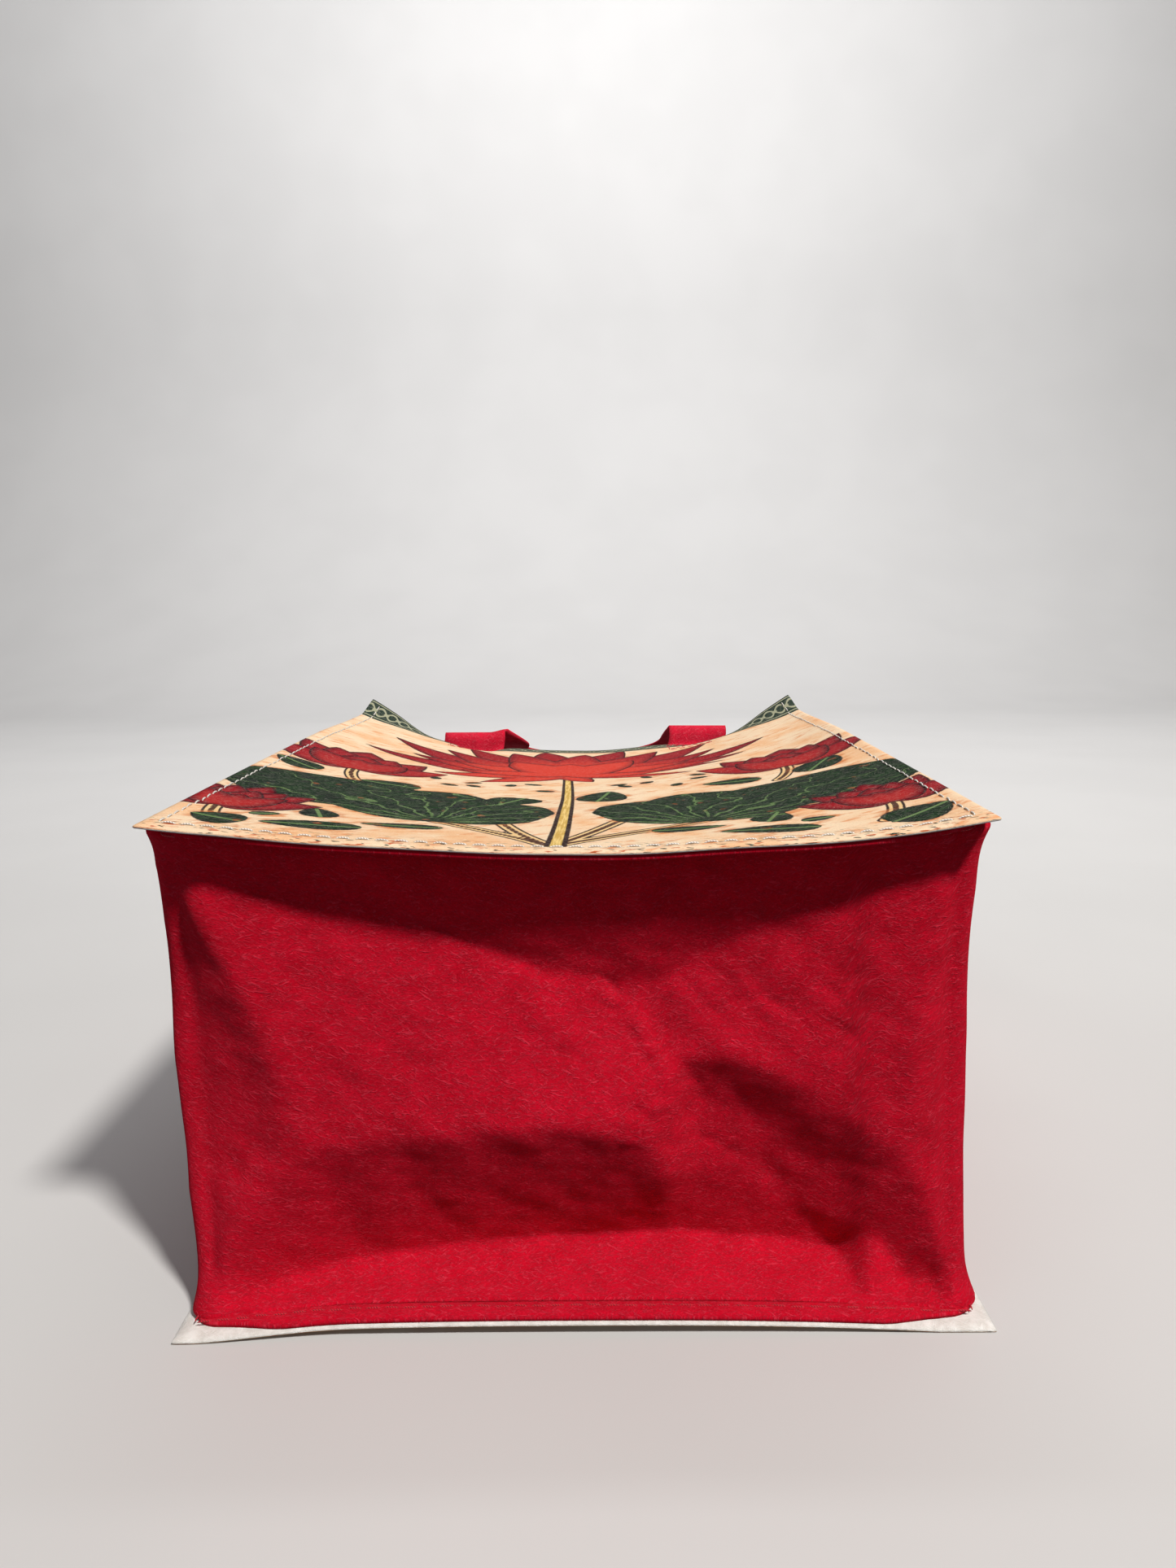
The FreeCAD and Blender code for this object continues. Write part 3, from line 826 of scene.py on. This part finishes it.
def makeGusset():
    g = gussetShape
    s, x, y, nx, ny = gussetPath()
    half = g["felt"] / 2
    r = g["foldRadius"]
    rows = 98
    alongBottom = smooth(wallX - 1, wallX - 24, np.abs(x)) * (y < wallY + 8)
    outset = g["flange"][0] + (g["flange"][1] - g["flange"][0]) * alongBottom
    atCorner = np.exp(-(((np.abs(x) - wallX) / 26) ** 2 + ((y - wallY - 3) / 26) ** 2))

    def spot(out, toPanel):
        return toPanel(x + nx * out, y + ny * out - backLow[1])

    def swollen(point, share, weight):
        # the front corners swell sideways
        swell = np.where(point[..., 0] < 0, -np.interp(share, *zip(*g["swellLeft"])),
                         np.interp(share, *zip(*g["swellRight"])))
        point[..., 0] += swell * weight * atCorner
        return point

    # middle of the felt: out along the back flange, a rounded fold, the wall, a fold, the front flange
    up = np.array([0.0, 0.0, 1.0])
    share = np.linspace(0, 1, rows)
    bottomFlange, topFlange = [], []
    for k in np.linspace(1, 0, 6):
        out = r + (outset - r) * k
        bottomFlange.append(swollen(spot(out - half, backTop) + up * half, 0.0, 1 - k))
        topFlange.append(swollen(spot(out - half, frontUnder) - up * half, 1.0, 1 - k))
    for a in np.radians([20, 45, 70]):
        inward, rise = r * (1 - math.sin(a)), r * (1 - math.cos(a))
        bottomFlange.append(swollen(spot(inward - half, backTop) + up * (half + rise), 0.0, 1.0))
        topFlange.append(swollen(spot(inward - half, frontUnder) - up * (half + rise), 1.0, 1.0))
    foot = spot(-half, backTop) + up * (half + r)
    head = spot(-half, frontUnder) - up * (half + r)
    wall = foot[None] + (head - foot)[None] * share[:, None, None]
    wall = swollen(wall, share[:, None], 1.0)
    height = (head - foot)[:, 2]

    # inward depth: the dent of the bottom, the hollows of the sides, less the spread at both flanges
    mean = float(height.mean())
    onBottom = smooth(wallX - g["corner"] * 0.9, wallX - g["corner"] * 1.9, np.abs(x)) * (y < wallY + 1)
    depth = dentDepth(wall[..., 0], wall[..., 2], mean + 3) * onBottom[None]
    belly = np.sin(np.pi * share)[:, None] ** 0.7
    back = y[None] - wallY + 0 * wall[..., 2]
    hollow = g["sideHollow"] * smooth(8, 0.5 * panelLength, back)
    hollow = hollow * smooth(panelLength + 20, 0.6 * panelLength, back)
    folds = 0.35 * waves(back, wall[..., 2], 21, 70) + 0.15 * waves(back, wall[..., 2], 22, 22)
    depth = depth + smooth(0.35, 1.0, np.abs(nx)) * belly * (hollow + folds)
    spread = g["flare"][0] + (g["flare"][1] - g["flare"][0]) * atCorner
    tall = g["flareHeight"][0] + (g["flareHeight"][1] - g["flareHeight"][0]) * atCorner
    for toFlange in (share, 1 - share):
        depth = depth - spread[None] * np.exp(-(toFlange[:, None] * height[None] / tall[None]) ** 1.2)
    wall = wall - np.stack([nx, ny, 0 * nx], -1)[None] * depth[..., None]
    # the corners fall back with the edges of the dent, and the side walls follow
    leftSlack, rightSlack = cornerSlack(share)
    slack = np.where(x < 0, leftSlack[:, None], rightSlack[:, None])
    wall[..., 1] += slack * np.exp(-np.maximum(y - wallY, 0) / g["slack"][2]) * (1 - onBottom)
    # the folds next to the wall take its spread too
    for flange in (bottomFlange, topFlange):
        for k, weight in ((-1, 1.0), (-2, 0.8), (-3, 0.55), (-4, 0.3)):
            flange[k] = flange[k] + np.stack([nx, ny, 0 * nx], -1) * (spread * weight)[:, None]
    middle = np.stack(bottomFlange + list(wall) + topFlange[::-1], 0)
    normal = gridNormals(middle)
    points, quads, _ = slab(middle + normal * half, middle - normal * half, 0.2)
    steps = np.linalg.norm(np.diff(middle, axis=0), axis=-1)
    across = np.concatenate([np.zeros((1, len(s))), np.cumsum(steps, axis=0)])
    cut = np.stack([np.broadcast_to(s, across.shape), across, 0 * across], -1)
    flat = cut.reshape(-1, 3)
    piece = putMesh("gusset_strip", points, quads, [gussetFelt], None,
                    {"cut": np.concatenate([flat, flat + [0, 0, 9], flat[rimOf(*cut.shape[:2])]])})
    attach(piece, "bag")
    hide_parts("gusset")
    return piece


makeGusset()


# The handles: each a strap sewn on inside the panel at both ends, bending at the mouth
print("handles")

strapShape = {
    "felt": 1.5,
    "step": 1.6,
    "across": 15,  # points across the strap
}
frontHandle = {
    "name": "front_strap",
    "nodes": ("front_handle_loop", "front_handle_left_end", "front_handle_right_end"),
    "body": "front_handle",
    "under": frontUnder,
    "side": -1,  # it lies below the panel
    "droop": (14.5, 7.0),  # degrees at the mouth, and how far it sags below that by its far end, in mm
    # top of each riser: x of its outer and inner edge, and the height of both
    "risers": {"left": (-71.5, 125.0, -41.5, 125.6), "right": (69.5, 127.2, 41.3, 127.6)},
    "peak": {"left": 1.8, "right": 0.0},  # the inner edge curls up this much
    "turnIn": {"left": 10.0, "right": 1.0},
}
backHandle = {
    "name": "back_strap",
    "nodes": ("back_handle_loop", "back_handle_left_end", "back_handle_right_end"),
    "body": "back_handle",
    "under": backTop,
    "side": 1,
    "droop": (0.8, 0.0),
    "risers": None,
    "peak": {"left": 0.0, "right": 0.0},
    "turnIn": {"left": 0.0, "right": 0.0},
}


def strapPlan(loopHigh, endLow, endHigh, hinge):
    # centre line of a strap laid flat: u from side to side, t outwards past the hinge, and the
    # direction across it; up one end, over the bight and down the other end
    width = endHigh[0] - endLow[0]
    centre = (endHigh[0] + endLow[0]) / 2
    reach = loopHigh[1] - hinge[1]
    leg = reach - centre - width / 2
    sewn = hinge[1] - endLow[1]
    step = strapShape["step"]
    down = np.arange(-sewn, leg, step)
    bight = np.linspace(0, math.pi, round(math.pi * centre / step))
    u = np.concatenate([0 * down - centre, -centre * np.cos(bight), 0 * down + centre])
    t = np.concatenate([down, leg + centre * np.sin(bight), down[::-1]])
    turn = np.concatenate([0 * down, bight, 0 * down + math.pi])
    return u, t, turn, width


def makeStrap(handle):
    loop, rightEnd = boxOf(handle["nodes"][0]), boxOf(handle["nodes"][2])
    hinge = hinges[handle["body"] + "_swing"]
    half = strapShape["felt"] / 2
    u, t, turn, width = strapPlan(loop[1], *rightEnd, hinge)
    w = np.linspace(-1, 1, strapShape["across"])[None, :] * width / 2
    # across the strap: from its outer edge (w below 0) to its inner edge
    plan = np.stack([u[:, None] + w * np.cos(turn)[:, None], t[:, None] - w * np.sin(turn)[:, None]], -1)
    x, far = plan[..., 0], plan[..., 1]
    inner = 0.5 + w / width + 0 * x
    # past the hinge: along the droop, sagging
    a = math.radians(handle["droop"][0])
    ahead = np.maximum(far, 0)
    sagged = handle["droop"][1] * (ahead / 100) ** 2
    y = hinge[1] + np.maximum(far, 0) * math.cos(a)
    z = hinge[2] - ahead * math.sin(a) - sagged
    # before it: sewn flat under the panel, then up the riser to the hinge's height
    v = np.clip(hinge[1] + far - (frontLow[1] if handle["side"] < 0 else backLow[1]), 0, panelLength + 1.0)
    flat = handle["under"](x, np.minimum(v, panelLength - 3.0))
    flatZ = flat[..., 2] + handle["side"] * (half + 0.02)
    if handle["risers"]:
        onLeft = x < 0
        for side, mask in (("left", onLeft), ("right", ~onLeft)):
            outer, outerTop, innerX, innerTop = handle["risers"][side]
            curl = handle["peak"][side] * smooth(0.7, 1.0, inner)
            top = outerTop + (innerTop - outerTop) * inner + curl
            across = outer + (innerX - outer) * inner
            near = np.exp(-((far / 26) ** 2)) * (far > 0) + (far <= 0) * smooth(-30, -4, far)
            x = np.where(mask, x + (across - x) * near, x)
            fade = np.exp(-np.clip(far, 0, None) / 24)
            z = np.where(mask & (far > 0), z + (top - half - hinge[2]) * fade, z)
            turned = handle["turnIn"][side] * (ahead / 16) * np.exp(1 - ahead / 16) * inner
            x = np.where(mask, x - np.sign(x) * turned, x)
            z = np.where(mask, z - 0.55 * turned, z)
            # the riser: far from -rise to 0 climbs from under the mouth's edge to the top
            rise = smooth(-5.0, 0.0, far)
            yFlat = frontLow[1] + panelLength + 0.9 + 0 * far
            climb = flatZ + (top - half - flatZ) * np.clip((far + 7.0) / 7.0, 0, 1)
            before = far <= 0
            z = np.where(mask & before, np.where(far < -7, flatZ, climb), z)
            y = np.where(mask & before, np.where(far < -7, frontLow[1] + v, yFlat + 1.3 * rise), y)
    else:
        blendIn = smooth(-9, 0, far)
        z = np.where(far <= 0, flatZ + (hinge[2] - flatZ) * blendIn, z)
        y = np.where(far <= 0, backLow[1] + v, y)
    lean = panelShape["leanLeft"] * smooth(-2, -14, far) if handle["side"] < 0 else 0
    middle = np.stack([x - lean, y, z], -1)
    normal = gridNormals(middle)
    points, quads, _ = slab(middle + normal * half, middle - normal * half, 0.15)
    along = np.arange(len(u)) * strapShape["step"]
    cut = np.stack(np.broadcast_arrays(w + 40, along[:, None], np.zeros((1, 1))), -1).reshape(-1, 3)
    rim = rimOf(len(u), w.shape[1])
    piece = putMesh(handle["name"], points, quads, [strapFelt], None,
                    {"cut": np.concatenate([cut, cut + [0, 0, 9], cut[rim]])})
    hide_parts(*handle["nodes"])
    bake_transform(piece)
    width * mm
    return piece


makeStrap(frontHandle)
makeStrap(backHandle)


# The sewing
print("stitches")

stitchShape = {
    "pitch": 4.8,
    "gap": 0.7,
    "thread": 0.5,
    "inset": 4.5,  # seam's distance from the panel's cut edge
    "boxPitch": 4.0,
    "boxHalf": 10.0,
    "boxEnds": (29.0, 8.0),  # the box on a strap's end, measured from the mouth
    "proud": 0.34,
}


def stitchesAlong(points, pitch, gap):
    # centres, directions and lengths of stitches on a line through points (x, v)
    centres, directions, lengths = [], [], []
    for a, b in zip(points, points[1:]):
        a, b = np.array(a, float), np.array(b, float)
        run = float(np.linalg.norm(b - a))
        count = max(1, round(run / pitch))
        t = (np.arange(count) + 0.5) / count
        centres.append(a + (b - a) * t[:, None])
        directions.append(np.repeat([(b - a) / run], count, 0))
        lengths.append(np.full(count, run / count - gap))
    return np.concatenate(centres), np.concatenate(directions), np.concatenate(lengths)


def onSurface(face, centres, directions, side):
    # place, direction and outward normal on a surface of (x, v); side -1 takes its under side
    d = 0.6
    x, v = centres[:, 0], centres[:, 1]
    here = face(x, v)
    dx, dv = face(x + d, v) - face(x - d, v), face(x, v + d) - face(x, v - d)
    normal = np.cross(dx, dv)
    normal /= np.linalg.norm(normal, axis=1, keepdims=True)
    along = dx * directions[:, :1] + dv * directions[:, 1:]
    along /= np.linalg.norm(along, axis=1, keepdims=True)
    return here, along, normal * side


def makeStitches(name, nodes, material, runs):
    # each stitch is a small arched sausage: rings of six points round its bent middle line
    thick = stitchShape["thread"] / 2
    rings = np.linspace(-1, 1, 7)
    sides = np.arange(6) / 6 * 2 * math.pi
    radius = thick * np.sqrt(np.clip(1 - 0.97 * rings ** 6, 0, 1))
    allPoints, allCuts = [], []
    for face, path, side, pitch, proud in runs:
        centres, directions, lengths = stitchesAlong(path, pitch, stitchShape["gap"])
        here, along, normal = onSurface(face, centres, directions, side)
        wobble = rng.normal(0, 0.12, (len(here), 2))
        across = np.cross(along, normal)
        along = along + across * wobble[:, :1] * 0.5
        lift = proud * (1 - rings ** 2) - thick * 0.7 * rings ** 4
        middle = (here[:, None] + across[:, None] * wobble[:, None, 1:]
                  + along[:, None] * (rings[None, :, None] * lengths[:, None, None] / 2)
                  + normal[:, None] * lift[None, :, None])
        ring = (across[:, None, None] * np.cos(sides)[None, None, :, None]
                + normal[:, None, None] * np.sin(sides)[None, None, :, None]) * radius[None, :, None, None]
        allPoints.append((middle[:, :, None] + ring).reshape(-1, 3))
        place = rings[None, :, None] * lengths[:, None, None] / 2 + 0 * sides[None, None, :]
        round_ = sides[None, None, :] + 0 * place
        allCuts.append(np.stack([place, round_, 0 * place], -1).reshape(-1, 3))
    points = np.concatenate(allPoints)
    count = len(points) // (len(rings) * 6)
    tube = gridQuads(len(rings), 6, closed=True)
    last = (len(rings) - 1) * 6
    caps = np.array([[3, 2, 1, 0], [5, 4, 3, 0], [last, last + 1, last + 2, last + 3],
                     [last, last + 3, last + 4, last + 5]])
    one = np.concatenate([tube, caps])
    quads = (one[None] + np.arange(count)[:, None, None] * len(rings) * 6).reshape(-1, 4)
    piece = putMesh(name, points, quads, [material], None, {"cut": np.concatenate(allCuts)})
    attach(piece, "bag")
    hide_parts(*nodes)
    return piece


def seamPath():
    # up from the bottom corner on both sides, and along the bottom
    x, low = halfWidth - stitchShape["inset"], stitchShape["inset"]
    top = panelLength - stitchShape["inset"]
    return [(-x, top), (-x, low), (x, low), (x, top)]


def boxPaths(centre):
    # a box with a cross in it, on a strap's end
    s = stitchShape
    low, high = panelLength - s["boxEnds"][0], panelLength - s["boxEnds"][1]
    left, right = centre - s["boxHalf"], centre + s["boxHalf"]
    return [[(left, low), (right, low), (right, high), (left, high), (left, low)],
            [(left, low), (right, high)], [(left, high), (right, low)]]


def below(face, depth):
    # the same surface, depth mm lower
    def lower(x, v):
        point = face(x, v)
        point[..., 2] -= depth
        return point
    return lower


def sewAll():
    s = stitchShape
    seam = seamPath()
    felt = gussetShape["felt"]
    makeStitches("front_seam_stitches", ["front_seam_needle_thread"], whiteThread,
                 [(frontFace, seam, 1, s["pitch"], s["proud"])])
    makeStitches("front_seam_loops", ["front_seam_bobbin_thread"], redThread,
                 [(below(frontUnder, felt), seam, -1, s["pitch"], 0.12)])
    makeStitches("back_seam_stitches", ["back_seam_needle_thread"], whiteThread,
                 [(below(backFace, -0.3), seam, -1, s["pitch"], 0.0)])
    makeStitches("back_seam_loops", ["back_seam_bobbin_thread"], redThread,
                 [(below(backTop, -felt), seam, 1, s["pitch"], 0.05)])
    strap = strapShape["felt"]
    ends = (("front", frontFace, below(frontUnder, strap), 1),
            ("back", below(backFace, -0.3), below(backTop, -strap), -1))
    for side, face, inner, turn in ends:
        low, high = boxOf(f"{side}_handle_right_end")
        centre = (low[0] + high[0]) / 2
        for name, x in (("left", -centre), ("right", centre)):
            runs = [(face, p, turn, s["boxPitch"], 0.05) for p in boxPaths(x)]
            runs += [(inner, p, -turn, s["boxPitch"], 0.2) for p in boxPaths(x)]
            makeStitches(f"{side}_{name}_handle_sewing", [f"{side}_handle_{name}_stitches"],
                         redThread, runs)


sewAll()


# Floor, light and camera
print("stage")

stageShape = {
    "focal": 24.96,
    "sensor": 36.0,
    "camera": (4.5, -395.9, 186.8),
    "pitch": 9.27,
    "yaw": -0.47,
    "roll": -0.64,
    "floor": srgb(206, 204, 202),
    # place, aim, size and power of each light, and its colour; metres and watts
    "lights": {
        "key_light": ((0.94, -1.2, 2.08), (0, 0, 0.05), 0.28, 66, (1.0, 0.98, 0.95)),
        "fill_light": ((-1.5, -1.6, 0.9), (0, 0, 0.05), 1.5, 3, (0.94, 0.97, 1.0)),
        "backdrop_light": ((0, 0.7, 1.9), (0, 2.4, 0.9), 1.6, 45, (0.97, 0.98, 1.0)),
    },
    "sky": ((0.95, 0.96, 1.0, 1.0), 0.13),
}


def aimCamera():
    # right, up and back directions from yaw, pitch and roll, in that order
    c = stageShape
    yaw, pitch, roll = (math.radians(c[k]) for k in ("yaw", "pitch", "roll"))
    right = Vector((math.cos(yaw), -math.sin(yaw), 0))
    forward = Vector((math.sin(yaw) * math.cos(pitch), math.cos(yaw) * math.cos(pitch), -math.sin(pitch)))
    up = right.cross(forward)
    rolledRight = right * math.cos(roll) + up * math.sin(roll)
    rolledUp = up * math.cos(roll) - right * math.sin(roll)
    data = bpy.data.cameras.new("camera")
    data.sensor_width = c["sensor"]
    data.lens = c["focal"]
    data.clip_start = 0.01
    camera = bpy.data.objects.new("camera", data)
    turn = Matrix((rolledRight, rolledUp, -forward)).transposed().to_4x4()
    camera.matrix_world = Matrix.Translation(Vector(c["camera"]) * mm) @ turn
    bpy.context.scene.collection.objects.link(camera)
    bpy.context.scene.camera = camera


aimCamera()


def plainSurface(name, colour):
    m = Material(name)
    at = m.node("ShaderNodeTexCoord", out=3)
    tint = m.mix(m.noise(at, 6.0, 2.0).step(0.3, 0.7), colour, tuple(c * 0.97 for c in colour[:3]) + (1.0,))
    return m.finish(Base_Color=tint, Roughness=0.6, Specular_IOR_Level=0.25)


def makeStage():
    # pale floor that curves up into a backdrop far behind the bag
    x = np.linspace(-4000, 4000, 9)
    turn = np.linspace(0, math.pi / 2, 14)
    radius, far = 900.0, 1500.0
    y = np.concatenate([[-3000, -1000, 0], far + radius * np.sin(turn), [far + radius]])
    z = np.concatenate([[0, 0, 0], radius * (1 - np.cos(turn)), [4000]])
    points = np.stack(np.broadcast_arrays(x[None, :], y[:, None], z[:, None]), -1)
    surface = plainSurface("pale_floor", stageShape["floor"])
    floor = putMesh("floor", points, gridQuads(len(y), len(x)), [surface])
    floor.visible_diffuse = False  # the pale floor doesn't brighten the felt from below


def areaLight(name, place, target, size, power, colour):
    data = bpy.data.lights.new(name, "AREA")
    data.shape = "DISK"
    data.size = size
    data.energy = power
    data.color = colour
    light = bpy.data.objects.new(name, data)
    light.location = place
    aim = Vector(target) - Vector(place)
    light.rotation_euler = aim.to_track_quat("-Z", "Y").to_euler()
    bpy.context.scene.collection.objects.link(light)


makeStage()
for lightName, light in stageShape["lights"].items():
    areaLight(lightName, *light)
world = bpy.data.worlds.new("studio")
world.use_nodes = True
sky = world.node_tree.nodes["Background"]
sky.inputs[0].default_value, sky.inputs[1].default_value = stageShape["sky"]
bpy.context.scene.world = world
bpy.context.scene.view_settings.view_transform = "Standard"
